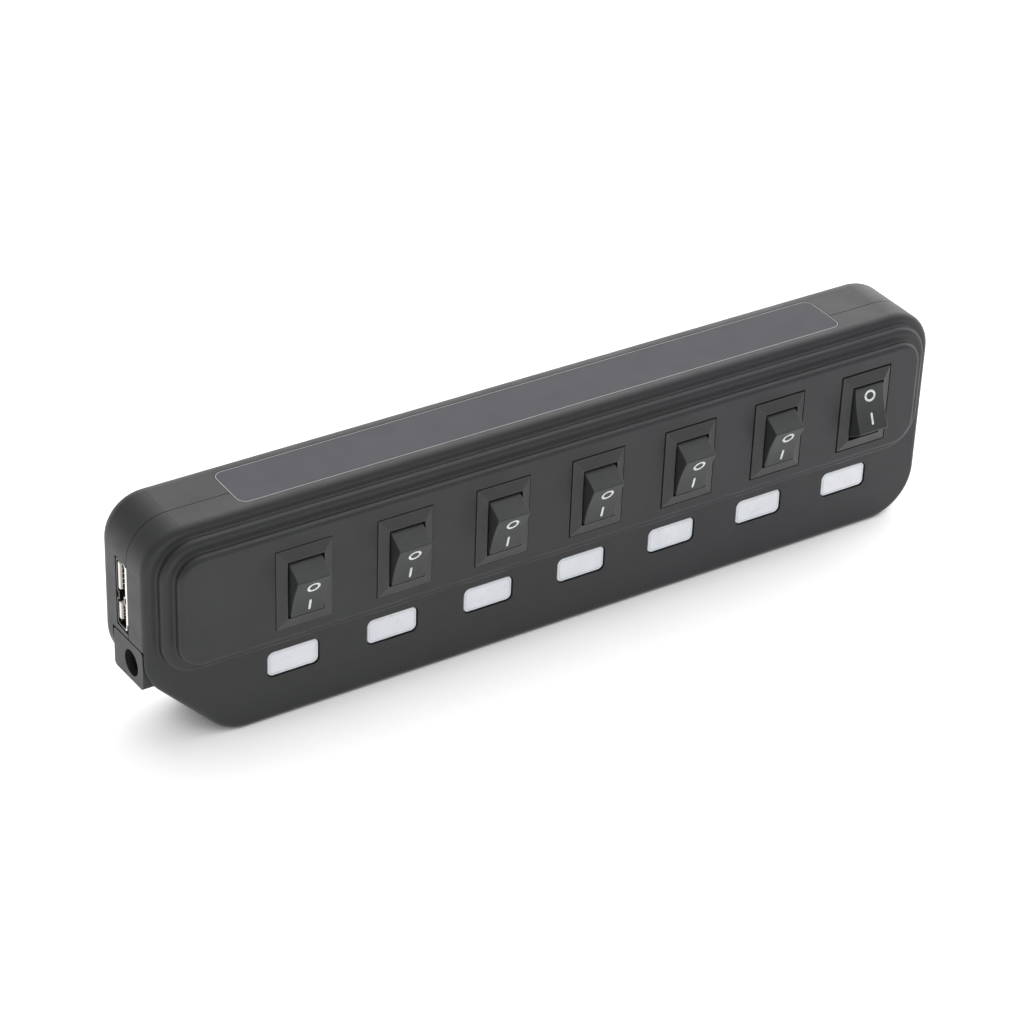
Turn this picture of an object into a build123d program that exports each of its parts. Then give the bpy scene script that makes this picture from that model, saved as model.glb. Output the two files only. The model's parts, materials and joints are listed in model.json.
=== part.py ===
from build123d import *
import math
import os

os.makedirs("parts", exist_ok=True)

# A seven-port hub in its case, in millimetres. The hub stands on its port side:
# X runs along it, away from the socket end, Y runs from the switch face to the
# back, and Z is up, with Z = 0 where the port side meets the table.

# ---- case ------------------------------------------------------------------
hub_length = 158.2
hub_height = 42.8
wall = 2.0
panel_y = -8.19                     # face of the raised switch panel
step = 1.75                         # each of the two steps around the panel
ring_2_y = panel_y + step
ring_1_y = panel_y + 2 * step
split_y = panel_y + 9.5             # where the front and rear shells meet
back_y = panel_y + 19.5
top_left_radius = 7.4
top_right_radius = 8.8
low_right_radius = 9.0
chamfer_length = 15.0               # cut-off corner at the socket end
chamfer_height = 15.4
chamfer_round = 8.5
front_round = 1.3
back_round = 3.0
seam_width = 0.14                   # groove where the two shells meet
seam_depth = 0.14
past = 1.0                          # how far a cut runs on past a face

# ---- stepped front face ------------------------------------------------------
switch_z = 28.0
panel_length = 149.0
panel_low = switch_z - 10.1
panel_high = switch_z + 10.75
panel_radius = 4.6
ring_2_side = 2.25                  # width of the middle ring at the ends
ring_2_low = 2.1
ring_2_high = 2.15
ring_2_radius = 6.6
edge_round = 0.95
step_foot_round = 0.5

# ---- rows of switches, windows and ports -------------------------------------
pitch = 19.03
count = 7
row_middle_x = 5.15
switch_x = [row_middle_x + pitch * (n - (count - 1) / 2) for n in range(count)]
window_z = switch_z - 16.94
window_width = 9.7
window_height = 4.8
window_radius = 1.1
window_gap = 0.15
window_recess = 0.2
window_round = 0.3                  # softened rim of each window

# ---- rocker switches -----------------------------------------------------------
bezel_width = 10.35
bezel_height = 15.0
bezel_proud = 0.8                   # the bezel's frame rises to this around the mouth
bezel_rim = 0.12                    # and starts from this at its outer edge
bezel_lip = 0.12                    # flat left around the mouth
pocket_depth = 0.4                  # pocket in the panel that the bezel sits in
tight_pocket = 0.1                  # gap around the first bezel
pocket_growth = 0.035               # each pocket is wider by this than the one before it
catch_width = 4.0                   # snap catches that hold a switch behind the panel
catch_reach = 0.7
catch_length = 2.2
body_width = 8.5
body_height = 13.5
body_depth = 11.2
cutout_gap = 0.1
mouth_width = 6.8
mouth_height = 10.9
floor_thickness = 1.0
pivot_depth = 1.0                   # rocker axis, behind the panel's face
pivot_y = panel_y + pivot_depth
rocker_width = 6.2
rocker_tilt = 18.0                  # each way from the middle
tip_reach = 4.2                     # rocker tips, up and down from the axis
tip_height = 3.7
valley_height = 3.35
skirt_height = -0.1
skirt_reach = 5.2
skirt_end = -1.4
skirt_slope = 0.2
tip_round = 0.3
side_round = 0.2
pin_radius = 0.7
pin_gap = 0.05
pin_reach = 3.9
pin_end_gap = 0.1
plunger_radius = 0.8
plunger_reach = 7.5
plunger_top = 2.0
stem_half = 1.6
stem_end = 5.0
plunger_gap = 0.1                   # behind the plunger in its stem
lever_tilt = 7.2
lever_bend = 14.0
lever_half = 3.4
lever_thickness = 0.4
lever_width = 2.8
lever_foot = 0.05
knee_radius = 0.55                  # bead along the lever's bend
seat_radius = 0.3                   # groove in it that rocks on the centre blade's tip
lever_y = panel_y + 9.3             # where the contact lever rocks
contact_z = 3.3
blade_width = 2.0
blade_thickness = 0.5
contact_setback = 0.3
blade_gap = 0.1
switch_is_on = [True] * 6 + [False]

pocket_gaps = [tight_pocket + pocket_growth * n for n in range(count)]

# ---- circuit boards -------------------------------------------------------------
board_y = panel_y + 13.5
board_thickness = 1.6
board_margin = 0.5
board_hole_gap = 0.3                # around the blades and screws that pass the board
chip_size = 9.0
chip_height = 1.1
chip_corner = 0.4
crystal_length = 5.0
crystal_width = 3.2
crystal_height = 0.9
capacitor_x = -64.5
capacitor_spots = [(capacitor_x, 22.0), (capacitor_x, 30.0)]
capacitor_radius = 3.1
capacitor_height = 6.0
capacitor_base = 6.6
capacitor_base_height = 0.6
capacitor_base_corner = 0.5
blade_stub = 0.5                    # the blades show this much behind the board
blade_end_y = board_y + board_thickness + blade_stub
strip_y = ring_1_y + wall           # back of the wall behind the windows
strip_thickness = 0.8
strip_margin = 1.2                  # how much taller the strip is than its windows
strip_overrun = 1.4                 # and how far it runs on past the end ones
led_height = 0.6
led_width = 3.2
led_depth = 1.6
led_board_thickness = 0.6
led_gap = 0.05
led_board_y = strip_y + strip_thickness + led_gap + led_height

# ---- USB-A sockets -----------------------------------------------------------------
usb_outer_width = 13.1
usb_outer_height = 5.7
usb_sheet = 0.3
usb_recess = 0.4
usb_depth = 13.8
usb_board_gap = 0.1
usb_y = board_y - usb_board_gap - usb_outer_height / 2
usb_gap = 0.2
usb_corner = 0.7
finger_width = 2.8                  # spring fingers cut in each shell's two broad sides
finger_length = 5.6
finger_slot = 0.4
finger_z = 6.5
tongue_width = 11.1
tongue_thickness = 1.84
tongue_gap = 0.72
tongue_recess = 1.2
tongue_root = 4.0
root_side_gap = 0.2
root_face_gap = 0.1
tongue_chamfer = 0.35

# ---- micro-B socket on the end wall --------------------------------------------------
end_x = -hub_length / 2
micro_y = panel_y + 11.65
micro_height = 12.8
micro_width = 3.3
micro_depth = 5.9
micro_sheet = 0.25
micro_recess = 0.1
micro_gap = 0.25
micro_back_gap = 0.2
micro_corner = 0.6
lip_reach = 0.3                     # guide lip folded out along the mouth's front side
lip_start = 1.4                     # above the socket's lower end
lip_length = 11.1

# ---- power socket in its block at the cut-off corner ------------------------------------
block_x = end_x                     # its face is flush with the end wall
block_inner_x = -71.5
block_front_y = panel_y + 4.6
block_back_y = panel_y + 14.85
block_low = 12.9
block_high = 20.25
block_rise = 0.3                    # its upper and lower faces climb by this each way towards the front
block_groove = 0.3                  # groove in the end wall round the block
block_groove_depth = 0.8
block_wall = 1.2
block_corner = 0.8
block_gap = 0.3                     # between the block and the front shell
block_board_gap = 0.2               # between the block and the main board
jack_y = panel_y + 8.7
jack_z = 16.4
jack_size = 5.0
jack_gap = 0.05
jack_x = block_x + block_wall + 2 * jack_gap
jack_length = 11.0
jack_bore_radius = 2.1
jack_bore_depth = 9.0
jack_hole_radius = 2.35
jack_pin_radius = 0.8
jack_pin_recess = 1.4
jack_pin_round = 0.35
jack_leg_thickness = 0.8
jack_leg_width = 1.6
jack_tail_radius = 0.6              # the pin is thinner where it goes through the housing
spring_start = 3.0                  # the side spring starts this far into the socket
spring_depth = 0.6                  # and lies this far into its wall
spring_width = 1.6
spring_slot_gap = 0.1
spring_bend = 6.0
spring_tail = 1.6
spring_thickness = 0.3
spring_dip = 0.1

# ---- label, screws and feet ---------------------------------------------------------------
label_length = 120.5
label_width = 10.25
label_y = panel_y + 10.8
label_radius = 1.8
label_recess = 0.5
label_thickness = 0.45
label_gap = 0.12
screw_spots = [(-62.0, 7.5), (72.4, 9.6), (-70.3, 36.6), (71.8, 36.0)]
post_radius = 2.5
boss_radius = 3.0
screw_radius = 1.1
screw_head_radius = 2.1
screw_head_height = 1.3
screw_length = 10.5
screw_sink = 1.6
screw_gap = 0.2
pilot_margin = 0.5                  # solid plastic left in front of each pilot hole
thread_gap = 0.02
cross_length = 2.6                  # cross slot in each screw head
cross_width = 0.5
cross_depth = 0.7
foot_spots = [(-48.0, 8.0), (52.0, 8.0), (-48.0, 34.5), (52.0, 34.5)]
foot_radius = 4.0
foot_thickness = 1.2
foot_proud = 0.6
foot_gap = 0.1
foot_edge = 0.35


def facing(y):
    """The XZ plane at a depth; extruding by a negative amount goes towards the back."""
    return Plane.XZ.offset(-y)


def across(x, tilt, y):
    """A plane square to X through a rocking axis: its x points out of the face, its y upwards."""
    angle = math.radians(tilt)
    outwards = (0, -math.cos(angle), -math.sin(angle))
    return Plane(origin=(x, y, switch_z), x_dir=outwards, z_dir=(-1, 0, 0))


def hub_outline():
    """The hub's outline in X and Z, with its rounded corners and one cut-off corner."""
    left, right = -hub_length / 2, hub_length / 2
    with BuildSketch(mode=Mode.PRIVATE) as outline:
        with BuildLine():
            Polyline(
                (left, hub_height),
                (right, hub_height),
                (right, 0),
                (left + chamfer_length, 0),
                (left, chamfer_height),
                close=True,
            )
        make_face()
        for corner, radius in (
            ((left, hub_height), top_left_radius),
            ((right, hub_height), top_right_radius),
            ((right, 0), low_right_radius),
            ((left + chamfer_length, 0), chamfer_round),
            ((left, chamfer_height), chamfer_round),
        ):
            fillet(outline.vertices().sort_by_distance(corner)[0], radius)
    return outline.sketch


def rounded_panel(length, low, high, radius):
    """A rounded rectangle centred along the hub, between two heights."""
    with BuildSketch(mode=Mode.PRIVATE) as panel:
        with Locations((0, (low + high) / 2)):
            RectangleRounded(length, high - low, radius)
    return panel.sketch


outline_face = hub_outline()
panel_face = rounded_panel(panel_length, panel_low, panel_high, panel_radius)
ring_2_face = rounded_panel(
    panel_length + 2 * ring_2_side, panel_low - ring_2_low, panel_high + ring_2_high, ring_2_radius
)


def shell_blank(start_y, end_y):
    """The case's outline between two depths, as a private solid."""
    with BuildPart(mode=Mode.PRIVATE) as blank:
        with BuildSketch(facing(start_y)):
            add(outline_face)
        extrude(amount=start_y - end_y)
    return blank.part


def cavity(start_y, end_y):
    """The space inside the case's side walls between two depths."""
    with BuildPart(mode=Mode.PRIVATE) as space:
        with BuildSketch(facing(start_y)):
            add(outline_face)
            offset(amount=-wall, mode=Mode.REPLACE)
        extrude(amount=start_y - end_y)
    return space.part


def block_outline(grow, corner=0):
    """The power socket block's outline in Y and Z, grown by a gap, its long sides climbing to the front."""
    with BuildSketch(mode=Mode.PRIVATE) as outline:
        with BuildLine():
            Polyline(
                (block_front_y - grow, block_low + block_rise - grow),
                (block_back_y + grow, block_low - block_rise - grow),
                (block_back_y + grow, block_high - block_rise + grow),
                (block_front_y - grow, block_high + block_rise + grow),
                close=True,
            )
        make_face()
        if corner:
            fillet(outline.vertices(), corner)
    return outline.sketch


def block_region(grow):
    """The space that the block takes up, grown by a gap and run out past the end wall."""
    with BuildPart(mode=Mode.PRIVATE) as region:
        with BuildSketch(Plane.YZ.offset(end_x - past)):
            add(block_outline(grow))
        extrude(amount=block_inner_x - end_x + past + grow)
    return region.part


def port_cuts():
    """The seven port openings through the case's underside."""
    with BuildPart(mode=Mode.PRIVATE) as cuts:
        with BuildSketch(Plane.XY.offset(-past)):
            with Locations(*[(x, usb_y) for x in switch_x]):
                Rectangle(usb_outer_width + 2 * usb_gap, usb_outer_height + 2 * usb_gap)
        extrude(amount=wall + 2 * past)
    return cuts.part


def label_cut():
    """The shallow recess along the top wall that takes the label plate."""
    with BuildPart(mode=Mode.PRIVATE) as cut:
        with BuildSketch(Plane.XY.offset(hub_height - label_recess)):
            with Locations((0, label_y)):
                RectangleRounded(
                    label_length + 2 * label_gap, label_width + 2 * label_gap, label_radius + label_gap
                )
        extrude(amount=2 * label_recess)
    return cut.part


# ---- front shell: stepped face, window wall and the front half of the side walls ----
with BuildPart() as front_shell:
    add(shell_blank(ring_1_y, split_y))
    for start_y, face in ((ring_2_y, ring_2_face), (panel_y, panel_face)):
        with BuildSketch(facing(start_y)):
            add(face)
        extrude(amount=-step)
    for y, radius in ((ring_1_y, front_round), (ring_2_y, edge_round), (panel_y, edge_round)):
        level = front_shell.faces().filter_by(Axis.Y).filter_by_position(Axis.Y, y - 0.01, y + 0.01)
        fillet(level.sort_by(SortBy.AREA)[-1].outer_wire().edges(), radius)
    for y in (ring_1_y, ring_2_y):
        level = front_shell.faces().filter_by(Axis.Y).filter_by_position(Axis.Y, y - 0.01, y + 0.01)
        fillet(level.sort_by(SortBy.AREA)[-1].inner_wires()[0].edges(), step_foot_round)
    add(cavity(strip_y, split_y), mode=Mode.SUBTRACT)
    with BuildSketch(facing(panel_y + wall)):
        add(panel_face)
        offset(amount=-wall, mode=Mode.REPLACE)
    extrude(amount=panel_y + wall - strip_y, mode=Mode.SUBTRACT)
    with BuildSketch(facing(panel_y - past)):
        with Locations(*[(x, switch_z) for x in switch_x]):
            Rectangle(body_width + 2 * cutout_gap, body_height + 2 * cutout_gap)
    extrude(amount=-(wall + 2 * past), mode=Mode.SUBTRACT)
    for x, gap in zip(switch_x, pocket_gaps):
        with BuildSketch(facing(panel_y - past)):
            with Locations((x, switch_z)):
                Rectangle(bezel_width + 2 * gap, bezel_height + 2 * gap)
        extrude(amount=-(pocket_depth + past), mode=Mode.SUBTRACT)
    with BuildSketch(facing(ring_1_y - past)):
        with Locations(*[(x, window_z) for x in switch_x]):
            RectangleRounded(
                window_width + 2 * window_gap, window_height + 2 * window_gap, window_radius + window_gap
            )
    extrude(amount=-(wall + 2 * past), mode=Mode.SUBTRACT)
    with BuildSketch(facing(split_y)):
        add(outline_face)
        offset(amount=-seam_depth, mode=Mode.SUBTRACT)
    extrude(amount=seam_width, mode=Mode.SUBTRACT)
    with BuildSketch(facing(strip_y)):
        with Locations(*screw_spots):
            Circle(post_radius)
    extrude(amount=strip_y - board_y)
    with BuildSketch(facing(board_y)):
        with Locations(*screw_spots):
            Circle(screw_radius)
    extrude(amount=board_y - strip_y - pilot_margin, mode=Mode.SUBTRACT)
    add(block_region(block_gap), mode=Mode.SUBTRACT)
    add(port_cuts(), mode=Mode.SUBTRACT)
    add(label_cut(), mode=Mode.SUBTRACT)
front_shell.part.label = "front_shell"
export_step(front_shell.part, "parts/front_shell.step")

# ---- rear shell: back cover, rear half of the side walls and the power socket block ----
with BuildPart() as rear_shell:
    add(shell_blank(split_y, back_y))
    back = rear_shell.faces().sort_by(Axis.Y)[-1]
    fillet(back.outer_wire().edges(), back_round)
    add(cavity(split_y, back_y - wall), mode=Mode.SUBTRACT)
    with BuildSketch(Plane.YZ.offset(block_x)):
        add(block_outline(0, block_corner))
    extrude(amount=block_inner_x - block_x)
    with BuildSketch(Plane.YZ.offset(end_x - past)):
        add(block_outline(block_groove))
        add(block_outline(0, block_corner), mode=Mode.SUBTRACT)
    extrude(amount=block_groove_depth + past, mode=Mode.SUBTRACT)
    with BuildSketch(Plane.YZ.offset(block_x + block_wall)):
        add(block_outline(-block_wall))
        with Locations((jack_y, jack_z)):
            Rectangle(jack_size + 2 * jack_gap, jack_size + 2 * jack_gap)
    extrude(amount=block_inner_x - block_x, mode=Mode.SUBTRACT)
    with BuildSketch(Plane.YZ.offset(block_x - past)):
        with Locations((jack_y, jack_z)):
            Circle(jack_hole_radius)
    extrude(amount=block_wall + 2 * past, mode=Mode.SUBTRACT)
    with BuildSketch(Plane.YZ.offset(end_x - past)):
        with Locations((split_y - past, switch_z)):
            Rectangle(
                micro_y + micro_width / 2 + micro_back_gap - split_y + past,
                micro_height + 2 * micro_gap,
                align=(Align.MIN, Align.CENTER),
            )
    extrude(amount=wall + 2 * past, mode=Mode.SUBTRACT)
    with BuildSketch(facing(board_y + board_thickness)):
        with Locations(*screw_spots):
            Circle(boss_radius)
    extrude(amount=board_y + board_thickness - back_y + past)
    with BuildSketch(facing(back_y + past)):
        with Locations(*screw_spots):
            Circle(screw_radius + screw_gap)
    extrude(amount=back_y + past - board_y, mode=Mode.SUBTRACT)
    with BuildSketch(facing(back_y + past)):
        with Locations(*screw_spots):
            Circle(screw_head_radius + screw_gap)
    extrude(amount=screw_sink + screw_head_height + past, mode=Mode.SUBTRACT)
    with BuildSketch(facing(back_y)):
        with Locations(*foot_spots):
            Circle(foot_radius + foot_gap)
    extrude(amount=foot_thickness - foot_proud, mode=Mode.SUBTRACT)
    add(port_cuts(), mode=Mode.SUBTRACT)
    add(label_cut(), mode=Mode.SUBTRACT)
rear_shell.part.label = "rear_shell"
export_step(rear_shell.part, "parts/rear_shell.step")

# ---- label plate in the top wall, screws and rubber feet on the back ----------------
with BuildPart() as label_plate:
    with BuildSketch(Plane.XY.offset(hub_height - label_recess)):
        with Locations((0, label_y)):
            RectangleRounded(label_length, label_width, label_radius)
    extrude(amount=label_thickness)
label_plate.part.label = "label_plate"
export_step(label_plate.part, "parts/label_plate.step")

head_y = back_y - screw_sink
with BuildPart() as case_screws:
    with BuildSketch(facing(head_y)):
        with Locations(*screw_spots):
            Circle(screw_head_radius)
    extrude(amount=screw_head_height)
    with BuildSketch(facing(head_y - screw_head_height)):
        with Locations(*screw_spots):
            Circle(screw_radius - thread_gap)
    extrude(amount=screw_length)
    with BuildSketch(facing(head_y)):
        with Locations(*screw_spots):
            Rectangle(cross_length, cross_width)
            Rectangle(cross_width, cross_length)
    extrude(amount=cross_depth, mode=Mode.SUBTRACT)
case_screws.part.label = "case_screws"
export_step(case_screws.part, "parts/case_screws.step")

with BuildPart() as rubber_feet:
    with BuildSketch(facing(back_y + foot_proud)):
        with Locations(*foot_spots):
            Circle(foot_radius)
    extrude(amount=foot_thickness)
    fillet(rubber_feet.edges().group_by(Axis.Y)[-1], foot_edge)
rubber_feet.part.label = "rubber_feet"
export_step(rubber_feet.part, "parts/rubber_feet.step")

# ---- window strip: seven clear windows moulded on one strip -------------------------
strip_end = (count - 1) / 2 * pitch + window_width / 2 + strip_overrun
with BuildPart() as window_strip:
    with BuildSketch(facing(strip_y + strip_thickness)):
        with Locations((row_middle_x, window_z)):
            Rectangle(2 * strip_end, window_height + strip_margin)
    extrude(amount=strip_thickness)
    with BuildSketch(facing(strip_y)):
        with Locations(*[(x, window_z) for x in switch_x]):
            RectangleRounded(window_width, window_height, window_radius)
    extrude(amount=wall - window_recess)
    fillet(window_strip.edges().group_by(Axis.Y)[0], window_round)
window_strip.part.label = "window_strip"
export_step(window_strip.part, "parts/window_strip.step")

# ---- lamp board with its seven lamps, between the window strip and the sockets --------
with BuildPart() as led_board:
    with BuildSketch(facing(led_board_y + led_board_thickness)):
        with Locations((row_middle_x, window_z)):
            Rectangle(2 * strip_end, window_height + strip_margin)
    extrude(amount=led_board_thickness)
led_board.part.label = "led_board"
export_step(led_board.part, "parts/led_board.step")

with BuildPart() as leds:
    with BuildSketch(facing(led_board_y)):
        with Locations(*[(x, window_z) for x in switch_x]):
            Rectangle(led_width, led_depth)
    extrude(amount=led_height)
leds.part.label = "leds"
export_step(leds.part, "parts/leds.step")

# ---- main board, with slots for the switch blades and holes for the screws --------------
blade_spots = [(x, switch_z + rise) for x in switch_x for rise in (0, contact_z)]
with BuildPart() as main_board:
    with BuildSketch(facing(board_y)):
        add(outline_face)
        offset(amount=-(wall + board_margin), mode=Mode.REPLACE)
        with Locations(*blade_spots):
            Rectangle(blade_width + board_hole_gap, blade_thickness + board_hole_gap, mode=Mode.SUBTRACT)
        with Locations(*screw_spots):
            Circle(screw_radius + board_hole_gap, mode=Mode.SUBTRACT)
    extrude(amount=-board_thickness)
    add(block_region(block_board_gap), mode=Mode.SUBTRACT)
main_board.part.label = "main_board"
export_step(main_board.part, "parts/main_board.step")

chip_y = board_y + board_thickness
chip_x = [row_middle_x - 1.5 * pitch, row_middle_x + 1.5 * pitch]
chip_z = switch_z + 1.5
crystal_z = chip_z - 10.0
with BuildPart() as hub_chips:
    with BuildSketch(facing(chip_y)):
        with Locations(*[(x, chip_z) for x in chip_x]):
            Rectangle(chip_size, chip_size)
    extrude(amount=-chip_height)
    chamfer(hub_chips.edges().filter_by(Axis.Y), chip_corner)
hub_chips.part.label = "hub_chips"
export_step(hub_chips.part, "parts/hub_chips.step")

with BuildPart() as crystals:
    with BuildSketch(facing(chip_y)):
        with Locations(*[(x, crystal_z) for x in chip_x]):
            RectangleRounded(crystal_length, crystal_width, chip_corner)
    extrude(amount=-crystal_height)
crystals.part.label = "crystals"
export_step(crystals.part, "parts/crystals.step")

with BuildPart() as capacitors:
    with BuildSketch(facing(board_y)):
        with Locations(*capacitor_spots):
            Circle(capacitor_radius)
    extrude(amount=capacitor_height)
    with BuildSketch(facing(board_y)):
        with Locations(*capacitor_spots):
            RectangleRounded(capacitor_base, capacitor_base, capacitor_base_corner)
    extrude(amount=capacitor_base_height)
capacitors.part.label = "capacitors"
export_step(capacitors.part, "parts/capacitors.step")

# ---- micro-B socket: folded sheet case with a waist between its two cavities ---------------
micro_low = switch_z - micro_height / 2
waist_z = micro_low + 5.75
waist_half = 0.5
waist_inset = 0.6


def micro_profile(inset):
    """Two cavities, one above the other, joined by a narrower waist, drawn in Y and Z."""
    low_cavity = waist_z - waist_half - micro_low
    high_cavity = micro_height - low_cavity - 2 * waist_half
    with BuildSketch(mode=Mode.PRIVATE) as profile:
        with Locations((micro_y, micro_low + low_cavity / 2)):
            RectangleRounded(micro_width - 2 * inset, low_cavity - 2 * inset, micro_corner - inset)
        with Locations((micro_y, waist_z + waist_half + high_cavity / 2)):
            RectangleRounded(micro_width - 2 * inset, high_cavity - 2 * inset, micro_corner - inset)
        with Locations((micro_y, waist_z)):
            Rectangle(micro_width - 2 * (waist_inset + inset), 2 * waist_half + 4 * inset)
    return profile.sketch


with BuildPart() as micro_b_shell:
    with BuildSketch(Plane.YZ.offset(end_x + micro_recess)):
        add(micro_profile(0))
        add(micro_profile(micro_sheet), mode=Mode.SUBTRACT)
    extrude(amount=micro_depth)
    with BuildSketch(Plane.YZ.offset(end_x + micro_recess)):
        lip_y = micro_y - (micro_width + lip_reach) / 2
        with Locations((lip_y, micro_low + lip_start + lip_length / 2)):
            Rectangle(lip_reach + micro_sheet / 2, lip_length)
    extrude(amount=micro_sheet)
micro_b_shell.part.label = "micro_b_shell"
export_step(micro_b_shell.part, "parts/micro_b_shell.step")

micro_tongue_y = micro_y + 0.7
micro_tongue_thickness = 0.7
micro_tongue_recess = 0.05
micro_plug = 1.2                    # thickness of the block that closes the socket's inner end
plug_side_gap = 0.65
plug_end_gap = 0.25
low_tongue = (micro_low + 1.3, 3.1)  # lower end and height
high_tongue = (micro_low + 7.1, 5.0)
with BuildPart() as micro_b_tongue:
    with BuildSketch(Plane.YZ.offset(end_x + micro_recess + micro_depth - micro_plug)):
        with Locations((micro_y, micro_low + micro_height / 2)):
            Rectangle(
                micro_width - 2 * (micro_sheet + plug_side_gap),
                micro_height - 2 * (micro_sheet + plug_end_gap),
            )
    extrude(amount=micro_plug)
    with BuildSketch(Plane.YZ.offset(end_x + micro_recess + micro_tongue_recess)):
        for low, height in (low_tongue, high_tongue):
            with Locations((micro_tongue_y, low)):
                Rectangle(micro_tongue_thickness, height, align=(Align.CENTER, Align.MIN))
    extrude(amount=micro_depth - micro_tongue_recess - micro_plug / 2)
micro_b_tongue.part.label = "micro_b_tongue"
export_step(micro_b_tongue.part, "parts/micro_b_tongue.step")

# ---- power socket: housing with a blind bore, centre pin and side spring --------------------
with BuildPart() as jack_housing:
    with BuildSketch(Plane.YZ.offset(jack_x)):
        with Locations((jack_y, jack_z)):
            Rectangle(jack_size, jack_size)
            Circle(jack_bore_radius, mode=Mode.SUBTRACT)
    extrude(amount=jack_bore_depth)
    with BuildSketch(Plane.YZ.offset(jack_x + jack_bore_depth)):
        with Locations((jack_y, jack_z)):
            Rectangle(jack_size, jack_size)
            Circle(jack_tail_radius, mode=Mode.SUBTRACT)
    extrude(amount=jack_length - jack_bore_depth)
    with BuildSketch(Plane.XY.offset(jack_z + jack_size / 2 - spring_depth)):
        with Locations((jack_x + spring_start, jack_y)):
            Rectangle(
                jack_length - spring_start,
                spring_width + 2 * spring_slot_gap,
                align=(Align.MIN, Align.CENTER),
            )
    extrude(amount=past, mode=Mode.SUBTRACT)
jack_housing.part.label = "power_jack_housing"
export_step(jack_housing.part, "parts/power_jack_housing.step")

with BuildPart() as jack_pin:
    with BuildSketch(Plane.YZ.offset(jack_x + jack_pin_recess)):
        with Locations((jack_y, jack_z)):
            Circle(jack_pin_radius)
    extrude(amount=jack_bore_depth - jack_pin_recess)
    fillet(jack_pin.faces().sort_by(Axis.X)[0].edges(), jack_pin_round)
    with BuildSketch(Plane.YZ.offset(jack_x + jack_bore_depth)):
        with Locations((jack_y, jack_z)):
            Circle(jack_tail_radius)
    extrude(amount=jack_length - jack_bore_depth + jack_leg_thickness)
    with BuildSketch(facing(jack_y)):
        with Locations((jack_x + jack_length + jack_leg_thickness / 2, jack_z)):
            Rectangle(jack_leg_thickness, jack_leg_width)
    extrude(amount=jack_y - board_y)
jack_pin.part.label = "power_jack_pin"
export_step(jack_pin.part, "parts/power_jack_pin.step")

spring_z = jack_z + jack_size / 2 - spring_depth + 2 * spring_slot_gap + spring_dip / 2
spring_front_x = jack_x + spring_start + 2 * spring_slot_gap
spring_bend_x = jack_x + spring_bend
spring_back_x = jack_x + jack_length + spring_tail
with BuildPart() as jack_spring:
    with BuildSketch(facing(jack_y)):
        with BuildLine():
            Polyline(
                (spring_front_x, spring_z),
                (spring_bend_x, spring_z - spring_dip),
                (spring_back_x, spring_z - spring_dip),
                (spring_back_x, spring_z - spring_dip + spring_thickness),
                (spring_bend_x, spring_z - spring_dip + spring_thickness),
                (spring_front_x, spring_z + spring_thickness),
                close=True,
            )
        make_face()
    extrude(amount=spring_width / 2, both=True)
jack_spring.part.label = "power_jack_spring"
export_step(jack_spring.part, "parts/power_jack_spring.step")

# ---- switch blades: a centre blade and a contact blade under each switch ----------------------
with BuildPart() as switch_blades:
    with BuildSketch(facing(lever_y)):
        with Locations(*[(x, switch_z) for x in switch_x]):
            Rectangle(blade_width, blade_thickness)
    extrude(amount=lever_y - blade_end_y)
    for x in switch_x:
        with BuildSketch(Plane.YZ.offset(x - blade_width / 2)):
            with Locations((lever_y, switch_z)):
                Circle(blade_thickness / 2)
        extrude(amount=blade_width)
    with BuildSketch(facing(lever_y - contact_setback)):
        with Locations(*[(x, switch_z + contact_z) for x in switch_x]):
            Rectangle(blade_width, blade_thickness)
    extrude(amount=lever_y - contact_setback - blade_end_y)
switch_blades.part.label = "switch_blades"
export_step(switch_blades.part, "parts/switch_blades.step")

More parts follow.
